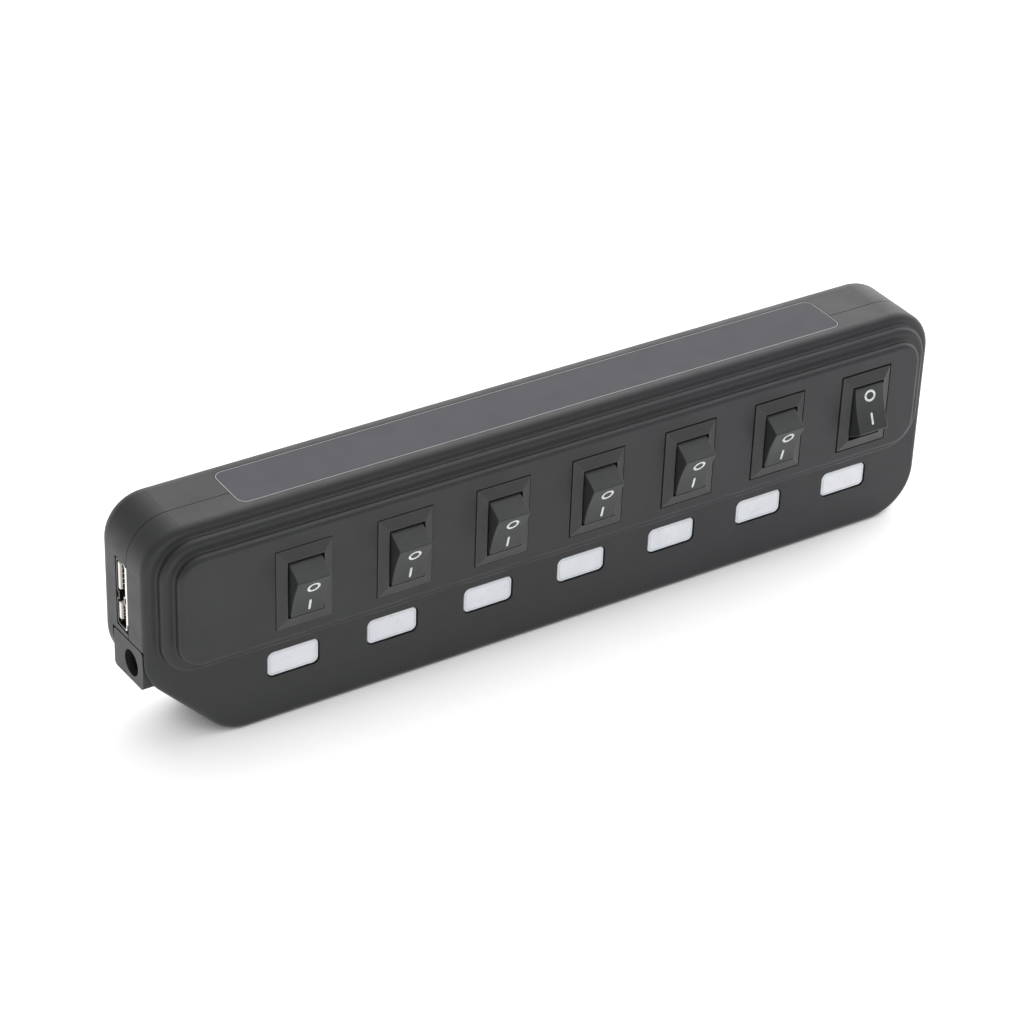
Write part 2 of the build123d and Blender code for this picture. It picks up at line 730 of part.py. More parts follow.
# ---- one rocker switch, light path and port for each column -------------------------------------
for number, (x, is_on) in enumerate(zip(switch_x, switch_is_on), start=1):
    tilt = rocker_tilt if is_on else -rocker_tilt
    rocker_plane = across(x, tilt, pivot_y)
    lever_plane = across(x, -lever_tilt if is_on else lever_tilt, lever_y)

    with BuildPart() as switch_housing:
        with BuildSketch(facing(panel_y - bezel_rim)):
            with Locations((x, switch_z)):
                Rectangle(bezel_width, bezel_height)
        extrude(amount=-(bezel_rim + pocket_depth))
        with BuildSketch(facing(panel_y - bezel_rim)):
            with Locations((x, switch_z)):
                Rectangle(bezel_width, bezel_height)
        with BuildSketch(facing(panel_y - bezel_proud)):
            with Locations((x, switch_z)):
                Rectangle(mouth_width + 2 * bezel_lip, mouth_height + 2 * bezel_lip)
        loft()
        with BuildSketch(facing(panel_y)):
            with Locations((x, switch_z)):
                Rectangle(body_width, body_height)
        extrude(amount=-body_depth)
        for side in (-1, 1):
            edge_z = switch_z + side * body_height / 2
            with BuildSketch(Plane.YZ.offset(x)):
                with BuildLine():
                    Polyline(
                        (panel_y + wall, edge_z - side * catch_reach),
                        (panel_y + wall, edge_z + side * catch_reach),
                        (panel_y + wall + catch_length, edge_z),
                        (panel_y + wall + catch_length, edge_z - side * catch_reach),
                        close=True,
                    )
                make_face()
            extrude(amount=catch_width / 2, both=True)
        with BuildSketch(facing(panel_y - past)):
            with Locations((x, switch_z)):
                Rectangle(mouth_width, mouth_height)
        extrude(amount=-(past + body_depth - floor_thickness), mode=Mode.SUBTRACT)
        with BuildSketch(Plane.YZ.offset(x)):
            with Locations((pivot_y, switch_z)):
                Circle(pin_radius + pin_gap)
        extrude(amount=pin_reach + pin_end_gap, both=True, mode=Mode.SUBTRACT)
        with BuildSketch(facing(panel_y + body_depth + past)):
            with Locations((x, switch_z), (x, switch_z + contact_z)):
                Rectangle(blade_width + blade_gap, blade_thickness + blade_gap)
        extrude(amount=floor_thickness + 2 * past, mode=Mode.SUBTRACT)
    switch_housing.part.label = f"switch_housing_{number}"
    export_step(switch_housing.part, f"parts/switch_housing_{number}.step")

    with BuildPart() as rocker:
        with BuildSketch(rocker_plane) as profile:
            with BuildLine():
                ThreePointArc((tip_height, -tip_reach), (valley_height, 0), (tip_height, tip_reach))
                Polyline(
                    (tip_height, tip_reach),
                    (skirt_height, skirt_reach),
                    (skirt_end, skirt_reach - skirt_slope),
                    (skirt_end, skirt_slope - skirt_reach),
                    (skirt_height, -skirt_reach),
                    (tip_height, -tip_reach),
                )
            make_face()
            for side in (-1, 1):
                tip = profile.vertices().sort_by_distance((tip_height, side * tip_reach))[0]
                fillet(tip, tip_round)
        extrude(amount=rocker_width / 2, both=True)
        side_faces = rocker.faces().sort_by(Axis.X)
        fillet(side_faces[0].edges() + side_faces[-1].edges(), side_round)
        with BuildSketch(rocker_plane):
            Circle(pin_radius)
        extrude(amount=pin_reach, both=True)
        with BuildSketch(rocker_plane):
            with Locations((-stem_end, 0)):
                Rectangle(stem_end + skirt_end + side_round, 2 * stem_half, align=(Align.MIN, Align.CENTER))
        extrude(amount=stem_half, both=True)
        bore_mouth = rocker_plane.from_local_coords((-stem_end - past, 0, 0))
        with BuildSketch(Plane(origin=bore_mouth, z_dir=rocker_plane.x_dir)):
            Circle(plunger_radius + pin_gap)
        extrude(amount=stem_end + past - plunger_top, mode=Mode.SUBTRACT)
    rocker.part.label = f"rocker_{number}"
    export_step(rocker.part, f"parts/rocker_{number}.step")

    with BuildPart() as plunger:
        with BuildSketch(rocker_plane):
            with BuildLine():
                Polyline(
                    (-plunger_reach, 0),
                    (-plunger_top - plunger_gap, 0),
                    (-plunger_top - plunger_gap, plunger_radius),
                    (plunger_radius - plunger_reach, plunger_radius),
                )
                RadiusArc(
                    (plunger_radius - plunger_reach, plunger_radius), (-plunger_reach, 0), -plunger_radius
                )
            make_face()
        revolve(axis=Axis(rocker_plane.origin, rocker_plane.x_dir))
    plunger.part.label = f"plunger_{number}"
    export_step(plunger.part, f"parts/plunger_{number}.step")

    arm_rise = lever_half * math.tan(math.radians(lever_bend))
    with BuildPart() as contact_lever:
        with BuildSketch(lever_plane):
            with BuildLine():
                Polyline(
                    (lever_foot, 0),
                    (lever_foot + arm_rise, lever_half),
                    (lever_foot + lever_thickness + arm_rise, lever_half),
                    (lever_foot + lever_thickness, 0),
                    (lever_foot + lever_thickness + arm_rise, -lever_half),
                    (lever_foot + arm_rise, -lever_half),
                    close=True,
                )
            make_face()
            Circle(knee_radius)
            with Locations((lever_foot - knee_radius, 0)):
                Rectangle(2 * knee_radius, 2 * knee_radius, mode=Mode.SUBTRACT)
            Circle(seat_radius, mode=Mode.SUBTRACT)
        extrude(amount=lever_width / 2, both=True)
    contact_lever.part.label = f"contact_lever_{number}"
    export_step(contact_lever.part, f"parts/contact_lever_{number}.step")

    with BuildPart() as usb_shell:
        with BuildSketch(Plane.XY.offset(usb_recess)):
            with Locations((x, usb_y)):
                RectangleRounded(usb_outer_width, usb_outer_height, usb_corner)
                RectangleRounded(
                    usb_outer_width - 2 * usb_sheet,
                    usb_outer_height - 2 * usb_sheet,
                    usb_corner - usb_sheet,
                    mode=Mode.SUBTRACT,
                )
        extrude(amount=usb_depth)
        with BuildSketch(facing(usb_y)):
            with Locations((x - usb_outer_width / 4, finger_z), (x + usb_outer_width / 4, finger_z)):
                Rectangle(finger_width, finger_length)
                with Locations((0, finger_slot)):
                    Rectangle(finger_width - 2 * finger_slot, finger_length, mode=Mode.SUBTRACT)
        extrude(amount=usb_outer_height, both=True, mode=Mode.SUBTRACT)
    usb_shell.part.label = f"usb_port_shell_{number}"
    export_step(usb_shell.part, f"parts/usb_port_shell_{number}.step")

    usb_top = usb_recess + usb_depth
    with BuildPart() as usb_tongue:
        with BuildSketch(Plane.XY.offset(usb_top - tongue_root)):
            with Locations((x, usb_y)):
                Rectangle(
                    usb_outer_width - 2 * (usb_sheet + root_side_gap),
                    usb_outer_height - 2 * (usb_sheet + root_face_gap),
                )
        extrude(amount=tongue_root)
        with BuildSketch(Plane.XY.offset(usb_recess + tongue_recess)):
            with Locations((x, usb_y - usb_outer_height / 2 + usb_sheet + tongue_gap)):
                Rectangle(tongue_width, tongue_thickness, align=(Align.CENTER, Align.MIN))
        extrude(amount=usb_depth - tongue_recess - tongue_root)
        lip = usb_tongue.faces().sort_by(Axis.Z)[0]
        chamfer(lip.edges().filter_by(Axis.X), tongue_chamfer)
    usb_tongue.part.label = f"usb_port_tongue_{number}"
    export_step(usb_tongue.part, f"parts/usb_port_tongue_{number}.step")
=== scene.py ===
import json
import math

import bmesh
import bpy
from mathutils import Matrix, Vector
from mathutils.bvhtree import BVHTree


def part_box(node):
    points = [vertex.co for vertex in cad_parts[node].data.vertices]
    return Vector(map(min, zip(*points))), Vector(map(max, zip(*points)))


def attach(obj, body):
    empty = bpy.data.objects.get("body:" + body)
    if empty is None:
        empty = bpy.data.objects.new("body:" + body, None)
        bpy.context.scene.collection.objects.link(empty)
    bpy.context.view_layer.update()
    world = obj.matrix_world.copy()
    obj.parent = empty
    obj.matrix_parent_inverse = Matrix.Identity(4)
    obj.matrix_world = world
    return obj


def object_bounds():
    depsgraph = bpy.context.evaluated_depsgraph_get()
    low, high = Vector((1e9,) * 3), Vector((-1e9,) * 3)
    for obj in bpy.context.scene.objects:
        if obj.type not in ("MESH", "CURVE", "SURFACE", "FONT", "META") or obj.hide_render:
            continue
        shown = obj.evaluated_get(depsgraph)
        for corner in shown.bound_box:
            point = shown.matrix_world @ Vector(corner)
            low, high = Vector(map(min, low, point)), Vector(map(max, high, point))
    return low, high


# A seven-port hub on a pale studio floor. Lengths in names ending in _mm are
# millimetres; everything handed to Blender is in metres.

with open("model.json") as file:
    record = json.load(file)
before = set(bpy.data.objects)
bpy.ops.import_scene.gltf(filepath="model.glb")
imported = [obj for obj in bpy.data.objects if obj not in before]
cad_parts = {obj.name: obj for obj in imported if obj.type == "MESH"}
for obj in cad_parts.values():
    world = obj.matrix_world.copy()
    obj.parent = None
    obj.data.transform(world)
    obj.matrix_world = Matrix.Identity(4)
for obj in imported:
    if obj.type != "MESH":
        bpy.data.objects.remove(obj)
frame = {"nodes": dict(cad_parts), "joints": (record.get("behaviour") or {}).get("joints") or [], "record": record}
cad_low, cad_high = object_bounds()

MM = 0.001
RIGHT, BACK, UP = Vector((1, 0, 0)), Vector((0, 1, 0)), Vector((0, 0, 1))
CASE = "hub_case"
nodes = frame["nodes"]
joints = {joint["name"]: joint for joint in frame["joints"]}
port_count = sum(1 for name in nodes if name.startswith("usb_port_shell_"))
numbers = range(1, port_count + 1)


# ---- camera -------------------------------------------------------------------

def look_from(azimuth, elevation, roll, distance, target, lens):
    """A camera at that angle round the target, turned about its own axis by roll."""
    a, e = math.radians(azimuth), math.radians(elevation)
    back = Vector((math.sin(a) * math.cos(e), -math.cos(a) * math.cos(e), math.sin(e)))
    data = bpy.data.cameras.new("camera")
    data.lens = lens
    data.sensor_width = 36.0
    data.clip_start, data.clip_end = 0.02, 50.0
    camera = bpy.data.objects.new("camera", data)
    bpy.context.scene.collection.objects.link(camera)
    turn = (-back).to_track_quat("-Z", "Y").to_matrix().to_4x4()
    camera.matrix_world = Matrix.Translation(target + back * distance) @ turn @ Matrix.Rotation(roll, 4, "Z")
    bpy.context.scene.camera = camera


centre = (cad_low + cad_high) / 2
look_from(
    azimuth=-33.548,
    elevation=32.476,
    roll=math.radians(2.263),
    distance=566.46 * MM,
    target=centre + Vector((-4.24, 3.56, -1.1)) * MM,
    lens=115.23,
)


# ---- material graphs ------------------------------------------------------------

# A corner is fully worn where the cosine of its rounded normal to the face's own is this low.
WORN_COSINE = 0.90
# The darkest and the palest factor in the slow drift of a plastic's colour.
COLOUR_DRIFT = (0.93, 1.07)
# Where along the hub a plastic starts and ends its turn into its lit far colour, the painted light towards the
# right end.
FADE_START, FADE_END = -50 * MM, 30 * MM
# The share of a plating's colour that is left under the painted shade deep in a socket.
DEEP_SOCKET_SHADE = 0.12
TRACK_PITCH_MM = 3.1


class Graph:
    """One material's node graph: a Principled shader fed by procedural patterns."""

    def __init__(self, name):
        self.material = bpy.data.materials.new(name)
        self.material.use_nodes = True
        self.tree = self.material.node_tree
        self.tree.nodes.clear()
        self.shader = self.add("ShaderNodeBsdfPrincipled")
        output = self.add("ShaderNodeOutputMaterial")
        self.join(self.shader.outputs["BSDF"], output.inputs["Surface"])
        self.place = self.add("ShaderNodeTexCoord").outputs["Object"]
        self.normal = None

    def add(self, kind, **settings):
        node = self.tree.nodes.new(kind)
        for key, value in settings.items():
            setattr(node, key, value)
        return node

    def join(self, source, target):
        self.tree.links.new(source, target)

    def feed(self, socket, value):
        if isinstance(value, bpy.types.NodeSocket):
            self.join(value, socket)
        else:
            socket.default_value = value

    def stretched(self, along):
        """Object coordinates scaled along each axis, for brushed or rolled patterns."""
        mapping = self.add("ShaderNodeMapping")
        self.join(self.place, mapping.inputs["Vector"])
        mapping.inputs["Scale"].default_value = along
        return mapping.outputs["Vector"]

    def noise(self, size_mm, detail=2.0, roughness=0.5, place=None):
        """Cloudy noise whose blotches are about that large."""
        node = self.add("ShaderNodeTexNoise")
        self.join(place or self.place, node.inputs["Vector"])
        node.inputs["Scale"].default_value = 1.0 / (size_mm * MM)
        node.inputs["Detail"].default_value = detail
        node.inputs["Roughness"].default_value = roughness
        return node.outputs["Fac"]

    def uneven(self, size_mm, low, high, detail=2.0):
        """A value that wanders between low and high in blotches about that large."""
        return self.span(self.noise(size_mm, detail), low, high, 0.3, 0.7)

    def span(self, value, low, high, from_low=0.0, from_high=1.0):
        """A value carried from one range to the range of low to high, and held inside it."""
        node = self.add("ShaderNodeMapRange")
        self.feed(node.inputs["Value"], value)
        node.inputs["From Min"].default_value = from_low
        node.inputs["From Max"].default_value = from_high
        node.inputs["To Min"].default_value = low
        node.inputs["To Max"].default_value = high
        return node.outputs["Result"]

    def along(self, axis):
        """The object coordinate along that axis."""
        node = self.add("ShaderNodeSeparateXYZ")
        self.join(self.place, node.inputs["Vector"])
        return node.outputs[axis]

    def math(self, operation, a, b):
        node = self.add("ShaderNodeMath", operation=operation)
        self.feed(node.inputs[0], a)
        self.feed(node.inputs[1], b)
        return node.outputs["Value"]

    def blend(self, share, a, b):
        """Colour a where share is 0 and b where it is 1."""
        node = self.add("ShaderNodeMix", data_type="RGBA")
        self.feed(node.inputs["Factor"], share)
        for socket, colour in ((node.inputs[6], a), (node.inputs[7], b)):
            self.feed(socket, colour if isinstance(colour, bpy.types.NodeSocket) else (*colour, 1.0))
        return node.outputs[2]

    def edges(self, width_mm):
        """1 on the corners of the shape and 0 on its flats."""
        bevel = self.add("ShaderNodeBevel", samples=4)
        bevel.inputs["Radius"].default_value = width_mm * MM
        geometry = self.add("ShaderNodeNewGeometry")
        dot = self.add("ShaderNodeVectorMath", operation="DOT_PRODUCT")
        self.join(bevel.outputs["Normal"], dot.inputs[0])
        self.join(geometry.outputs["Normal"], dot.inputs[1])
        return self.span(dot.outputs["Value"], 1.0, 0.0, WORN_COSINE, 1.0)

    def bump(self, height, depth_mm):
        """Adds a relief of that depth to the surface."""
        node = self.add("ShaderNodeBump")
        node.inputs["Strength"].default_value = 1.0
        node.inputs["Distance"].default_value = depth_mm * MM
        self.join(height, node.inputs["Height"])
        if self.normal:
            self.join(self.normal, node.inputs["Normal"])
        self.normal = node.outputs["Normal"]
        self.join(self.normal, self.shader.inputs["Normal"])

    def set(self, **values):
        """Colour, roughness and other inputs of the shader; a plain number stays on its socket."""
        for key, value in values.items():
            socket = self.shader.inputs[key.replace("_", " ")]
            if isinstance(value, tuple) and len(value) == 3:
                value = (*value, 1.0)
            self.feed(socket, value)
        return self.material


def scaled(colour, factor):
    """The colour with every channel times that factor, up to full."""
    return tuple(min(1.0, channel * factor) for channel in colour)


def moulded_plastic(
    name, colour, roughness, grain_mm, grain_depth_mm, specular=0.5, wear=1.6, lit_far_colour=None
):
    """Injection-moulded plastic: eroded grain, slow colour drift, polished and paler edges.

    With a lit far colour, the plastic turns slowly into it along the hub, as painted light towards the hub's right
    end.
    """
    g = Graph(name)
    dark, pale = [scaled(colour, factor) for factor in COLOUR_DRIFT]
    if lit_far_colour:
        # Painted light: the colour turns lighter and more violet towards the right end.
        share = g.span(g.along("X"), 0.0, 1.0, FADE_START, FADE_END)
        lit_far_dark, lit_far_pale = [scaled(lit_far_colour, factor) for factor in COLOUR_DRIFT]
        dark, pale = g.blend(share, dark, lit_far_dark), g.blend(share, pale, lit_far_pale)
    drift = g.blend(g.uneven(16.0, 0.0, 1.0, detail=3.0), dark, pale)
    speckle = g.span(g.noise(grain_mm * 2.5), 0.0, 0.35, 0.4, 0.8)
    speckled = g.blend(speckle, drift, scaled(colour, 1.35))
    patchy = g.span(g.noise(2.4, detail=4.0), 0.35, 1.0, 0.35, 0.65)
    worn = g.math("MULTIPLY", g.edges(0.35), patchy)
    tone = g.blend(worn, speckled, scaled(colour, wear))
    gloss = g.uneven(5.0, roughness - 0.04, roughness + 0.05, detail=4.0)
    gloss = g.math("SUBTRACT", gloss, g.math("MULTIPLY", worn, 0.07))
    g.bump(g.noise(grain_mm, detail=3.0, roughness=0.6), grain_depth_mm)
    g.bump(g.noise(grain_mm * 9.0), grain_depth_mm * 1.5)
    return g.set(Base_Color=tone, Roughness=gloss, Specular_IOR_Level=specular)


def label_film(name, colour):
    """Matt printed film: a very fine even grain and a slight drift in tone."""
    g = Graph(name)
    tone = g.blend(g.uneven(30.0, 0.0, 1.0), scaled(colour, 0.97), scaled(colour, 1.03))
    speckle = g.span(g.noise(0.25, detail=1.0), 0.0, 0.3, 0.4, 0.8)
    tone = g.blend(speckle, tone, scaled(colour, 1.12))
    g.bump(g.noise(0.3), 0.0006)
    return g.set(Base_Color=tone, Roughness=g.uneven(4.0, 0.62, 0.7), Specular_IOR_Level=0.2)


def milky_window(name):
    """Milky polycarbonate: light scatters a little way in, and its face is nearly smooth."""
    g = Graph(name)
    clouds = g.span(g.noise(3.5, detail=3.0), 0.0, 1.0, 0.35, 0.65)
    tone = g.blend(clouds, (0.80, 0.815, 0.86), (0.85, 0.86, 0.90))
    # Painted highlight: the window's rounded edges are paler.
    tone = g.blend(g.edges(0.45), tone, (0.94, 0.94, 0.96))
    g.bump(g.noise(0.5), 0.0008)
    gloss = g.uneven(1.2, 0.26, 0.36)
    return g.set(Base_Color=tone, Roughness=gloss, Subsurface_Weight=0.25, Subsurface_Scale=1.2 * MM)


def sheet_metal(name, colour, roughness, rolled, dirt=0.55, painted_shade=None):
    """Plated sheet: rolling marks along one axis, darker, rougher patches, and bright cut edges.

    With painted_shade, a start and an end in Y, painted shade darkens the plating from the one to the other.
    """
    g = Graph(name)
    lines = g.noise(1.0, detail=4.0, place=g.stretched(rolled))
    patches = g.span(g.noise(2.5, detail=4.0), 0.0, 1.0, 0.35, 0.7)
    tone = g.blend(patches, scaled(colour, dirt + 0.35), colour)
    tone = g.blend(g.edges(0.15), tone, scaled(colour, 1.15))
    if painted_shade:
        # Painted shade: the plating darkens deeper in the socket.
        tone = g.blend(g.span(g.along("Y"), 0.0, 1.0, *painted_shade), tone, scaled(colour, DEEP_SOCKET_SHADE))
    gloss = g.span(g.math("ADD", lines, patches), roughness - 0.06, roughness + 0.1, 0.5, 1.5)
    g.bump(lines, 0.002)
    return g.set(Base_Color=tone, Roughness=gloss, Metallic=1.0)


def circuit_board(name):
    """Green solder mask over copper tracks: straight runs show through as a paler relief."""
    g = Graph(name)
    tracks = g.add("ShaderNodeTexBrick", offset=0.37, squash=0.6, squash_frequency=3)
    g.join(g.place, tracks.inputs["Vector"])
    tracks.inputs["Scale"].default_value = 1.0 / (TRACK_PITCH_MM * MM)
    tracks.inputs["Mortar Size"].default_value = 0.05
    share = tracks.outputs["Fac"]
    mask = g.blend(g.uneven(9.0, 0.0, 1.0), (0.008, 0.085, 0.035), (0.012, 0.11, 0.045))
    tone = g.blend(share, mask, (0.03, 0.22, 0.09))
    g.bump(share, 0.02)
    return g.set(Base_Color=tone, Roughness=g.uneven(2.0, 0.22, 0.34))


def soft_rubber(name):
    """Matt black rubber: uneven in tone, slightly greyed on its edges, with a fine rough relief."""
    g = Graph(name)
    tone = g.blend(g.uneven(1.5, 0.0, 1.0, detail=4.0), (0.014, 0.014, 0.014), (0.024, 0.024, 0.025))
    tone = g.blend(g.edges(0.4), tone, (0.05, 0.05, 0.05))
    g.bump(g.noise(0.4, detail=4.0, roughness=0.7), 0.012)
    return g.set(Base_Color=tone, Roughness=g.span(g.noise(3.0), 0.72, 0.86), Specular_IOR_Level=0.3)


def white_ink(name):
    """Pad-printed ink: slightly uneven cover with soft, thinner edges."""
    g = Graph(name)
    cover = g.span(g.noise(0.35, detail=4.0), 0.0, 1.0, 0.3, 0.6)
    tone = g.blend(cover, (0.55, 0.56, 0.57), (0.78, 0.79, 0.80))
    g.bump(g.noise(0.12, detail=3.0), 0.004)
    return g.set(Base_Color=tone, Roughness=g.span(g.noise(0.5), 0.42, 0.6))


CHARCOAL = (0.0235, 0.0245, 0.0245)
# The case's far colour, lighter and more violet: painted light towards the hub's right end.
RIGHT_END_LIT_CHARCOAL = (0.0255, 0.0245, 0.0285)
finishes = {
    "case": moulded_plastic(
        "charcoal_case",
        CHARCOAL,
        roughness=0.46,
        grain_mm=0.22,
        grain_depth_mm=0.0035,
        specular=0.37,
        wear=1.3,
        lit_far_colour=RIGHT_END_LIT_CHARCOAL,
    ),
    "switch_black": moulded_plastic(
        "switch_nylon",
        (0.033, 0.033, 0.035),
        roughness=0.44,
        grain_mm=0.3,
        grain_depth_mm=0.002,
        specular=0.4,
        wear=1.9,
    ),
    "rocker_black": moulded_plastic(
        "rocker_nylon",
        (0.034, 0.036, 0.0355),
        roughness=0.42,
        grain_mm=0.35,
        grain_depth_mm=0.0015,
        specular=0.34,
        wear=2.4,
    ),
    "label": label_film("label_film", (0.086, 0.084, 0.095)),
    "window": milky_window("milky_window"),
    "board": circuit_board("circuit_board"),
    "lamp": moulded_plastic(
        "lamp_lens", (0.62, 0.58, 0.42), roughness=0.25, grain_mm=0.3, grain_depth_mm=0.001, wear=1.1
    ),
    "chip": moulded_plastic(
        "chip_epoxy", (0.012, 0.012, 0.013), roughness=0.6, grain_mm=0.12, grain_depth_mm=0.004
    ),
    "capacitor": sheet_metal(
        "capacitor_can", (0.75, 0.76, 0.78), roughness=0.3, rolled=(40.0, 1.0, 40.0)
    ),
    "nickel": sheet_metal(
        "nickel_sheet", (0.90, 0.87, 0.83), roughness=0.3, rolled=(6.0, 6.0, 60.0), dirt=0.6
    ),
    "steel": sheet_metal(
        "black_zinc", (0.16, 0.16, 0.17), roughness=0.34, rolled=(20.0, 1.0, 20.0)
    ),
    "brass": sheet_metal(
        "plated_brass", (0.86, 0.66, 0.34), roughness=0.26, rolled=(3.0, 30.0, 30.0)
    ),
    "tongue_blue": moulded_plastic(
        "tongue_blue", (0.012, 0.07, 0.42), roughness=0.4, grain_mm=0.3, grain_depth_mm=0.0015, wear=1.3
    ),
    "tongue_light": moulded_plastic(
        "tongue_natural", (0.90, 0.87, 0.82), roughness=0.42, grain_mm=0.3, grain_depth_mm=0.0015, wear=1.05
    ),
    "socket_black": moulded_plastic(
        "socket_black", (0.012, 0.012, 0.012), roughness=0.42, grain_mm=0.3, grain_depth_mm=0.002
    ),
    "rubber": soft_rubber("soft_rubber"),
}
ink = white_ink("white_ink")
gold = sheet_metal(
    "gold_flash", (0.95, 0.74, 0.36), roughness=0.2, rolled=(30.0, 30.0, 3.0), dirt=0.6
)
# The socket's gold contacts, darkened to a dark bronze tone: painted shade deep in the micro-B mouth.
shaded_contact_gold = sheet_metal(
    "contact_gold_in_painted_shade", (0.20, 0.14, 0.08), roughness=0.35, rolled=(3.0, 30.0, 30.0), dirt=0.6
)
rim_plastic = moulded_plastic(
    "window_rim", (0.56, 0.57, 0.61), roughness=0.35, grain_mm=0.2, grain_depth_mm=0.0008, wear=1.1
)
# Pale grey for the painted highlight along the label film's edge.
painted_edge_highlight = moulded_plastic(
    "painted_edge_highlight", (0.30, 0.30, 0.31), roughness=0.4, grain_mm=0.2, grain_depth_mm=0.001, wear=1.2
)

slot_of = {part["node"]: part["material_slot"] for part in frame["record"]["subparts"]}
for name, node in nodes.items():
    node.data.materials.clear()
    node.data.materials.append(finishes[slot_of[name]])

# The micro-B shell keeps its bright plating along its front side, and painted shade darkens it behind the tongues.
UNSHADED_TO, FULL_SHADE_FROM = 0.5 * MM, 1.4 * MM
shell_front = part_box("micro_b_shell")[0].y
nodes["micro_b_shell"].data.materials[0] = sheet_metal(
    "socket_nickel",
    (0.86, 0.84, 0.80),
    roughness=0.3,
    rolled=(6.0, 6.0, 60.0),
    painted_shade=(shell_front + UNSHADED_TO, shell_front + FULL_SHADE_FROM),
)


# ---- pieces -----------------------------------------------------------------------

def piece(name, mesh_data, material, body):
    """Links a flat-shaded mesh, gives it its finish and lets it ride on a body."""
    mesh = bpy.data.meshes.new(name)
    mesh_data.normal_update()
    bmesh.ops.recalc_face_normals(mesh_data, faces=mesh_data.faces)
    mesh_data.to_mesh(mesh)
    mesh_data.free()
    mesh.materials.append(material)
    made = bpy.data.objects.new(name, mesh)
    bpy.context.scene.collection.objects.link(made)
    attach(made, body)


def ring_of_points(rings):
    """A closed tube of faces through successive rings of points, joined end to end."""
    made = bmesh.new()
    rows = [[made.verts.new(point) for point in ring] for ring in rings]
    for row, following in zip(rows, rows[1:] + rows[:1]):
        for i in range(len(row)):
            j = (i + 1) % len(row)
            made.faces.new((row[i], row[j], following[j], following[i]))
    return made


def solid_outline(lower, upper):
    """A thin closed slab between two outlines that have the same number of points."""
    made = bmesh.new()
    low = [made.verts.new(point) for point in lower]
    high = [made.verts.new(point) for point in upper]
    made.faces.new(low)
    made.faces.new(high)
    for i in range(len(low)):
        j = (i + 1) % len(low)
        made.faces.new((low[i], low[j], high[j], high[i]))
    return made


def rounded_outline(width, height, radius, steps=6):
    """Points round a rectangle with rounded corners, centred on zero."""
    points = []
    for turn, (cx, cy) in enumerate(((1, 1), (-1, 1), (-1, -1), (1, -1))):
        for k in range(steps + 1):
            angle = math.pi / 2 * (turn + k / steps)
            x = cx * (width / 2 - radius) + radius * math.cos(angle)
            y = cy * (height / 2 - radius) + radius * math.sin(angle)
            points.append((x, y))
    return points


# Marks printed on the rockers: a ring above the middle and a bar below it.
RING_WIDTH, RING_HEIGHT, RING_MIDDLE, RING_STEPS = 2.4 * MM, 2.2 * MM, 2.1 * MM, 56
STROKE = 0.42 * MM
BAR_HEIGHT, BAR_MIDDLE, BAR_CORNER = 2.2 * MM, -2.2 * MM, STROKE * 0.35
# How far the marks sit beside the rocker's middle, and how much higher on the last rocker.
MARK_SIDE, LAST_MARK_SIDE, LAST_MARK_RISE = 0.2 * MM, -0.05 * MM, 0.4 * MM
INK_HEIGHT, INK_DEPTH = 0.025 * MM, 0.03 * MM
RAY_START = 10 * MM


def on_surface(tree, origin, outwards, across, up, w, s, lift):
    """The point of a rocker's surface at (w, s), w across and s up, lifted by a little."""
    start = origin + across * w + up * s + outwards * RAY_START
    hit = tree.ray_cast(start, -outwards)[0]
    return hit + outwards * lift


def rocker_frame(number):
    """A rocker's axis point, and its outward, across and upward directions at rest."""
    joint = joints[f"rocker_{number}_tilt"]
    low, high = joint["range_deg"]
    tilt = -math.radians((low + high) / 2)
    outwards = Vector((0, -math.cos(tilt), -math.sin(tilt)))
    up = Vector((0, -math.sin(tilt), math.cos(tilt)))
    return Vector(joint["pos_m"]), outwards, RIGHT, up


def print_marks(number):
    """The ring and the bar on one rocker, laid on its curved face.

    The last rocker stands the other way, and its marks are a little higher on it.
    """
    body = f"rocker_{number}"
    origin, outwards, across, up = rocker_frame(number)
    surface = nodes[body].data
    tree = BVHTree.FromPolygons(
        [vertex.co.copy() for vertex in surface.vertices],
        [tuple(polygon.vertices) for polygon in surface.polygons],
    )
    last = number == numbers[-1]
    side, rise = (LAST_MARK_SIDE, LAST_MARK_RISE) if last else (MARK_SIDE, 0.0)

    def laid(w, s, lift):
        return on_surface(tree, origin, outwards, across, up, side + w, rise + s, lift)

    rings = []
    for k in range(RING_STEPS):
        angle = 2 * math.pi * k / RING_STEPS
        ring = []
        for inset, lift in ((0.0, -INK_DEPTH), (0.0, INK_HEIGHT), (STROKE, INK_HEIGHT), (STROKE, -INK_DEPTH)):
            w = (RING_WIDTH / 2 - inset) * math.cos(angle)
            s = (RING_HEIGHT / 2 - inset) * math.sin(angle)
            ring.append(laid(w, RING_MIDDLE + s, lift))
        rings.append(ring)
    piece(f"rocker_ring_mark_{number}", ring_of_points(rings), ink, body)

    outline = rounded_outline(STROKE, BAR_HEIGHT, BAR_CORNER)
    lower = [laid(w, BAR_MIDDLE + s, -INK_DEPTH) for w, s in outline]
    upper = [laid(w, BAR_MIDDLE + s, INK_HEIGHT) for w, s in outline]
    piece(f"rocker_bar_mark_{number}", solid_outline(lower, upper), ink, body)


for number in numbers:
    print_marks(number)


